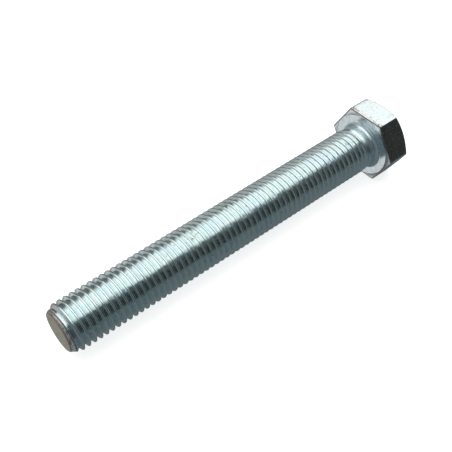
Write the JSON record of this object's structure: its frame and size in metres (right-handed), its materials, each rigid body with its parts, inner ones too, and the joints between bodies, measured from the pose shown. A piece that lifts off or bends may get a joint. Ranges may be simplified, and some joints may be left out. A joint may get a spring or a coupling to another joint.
{
  "type": "hex bolt",
  "caption": "Fully threaded hex-head bolt with a raised washer face, a short plain neck, a chamfered head and a chamfered point.",
  "frame": {"origin": "centre of the point's flat end face, on the bolt's axis", "axes": "+X along the axis from the point to the head, with the bearing face at x = 0.120; +Z out of an upper wrench flat, so the bolt lies on the flat opposite; +Y completes the right-handed frame, towards a corner of the hexagon"},
  "size_m": [0.13, 0.0268, 0.0234],
  "materials": {
    "zinc_plate": "bright blue-passivated zinc plating, glossy with a fine grain"
  },
  "bodies": {
    "root": {"hex_bolt": "zinc_plate"}
  },
  "joints": []
}
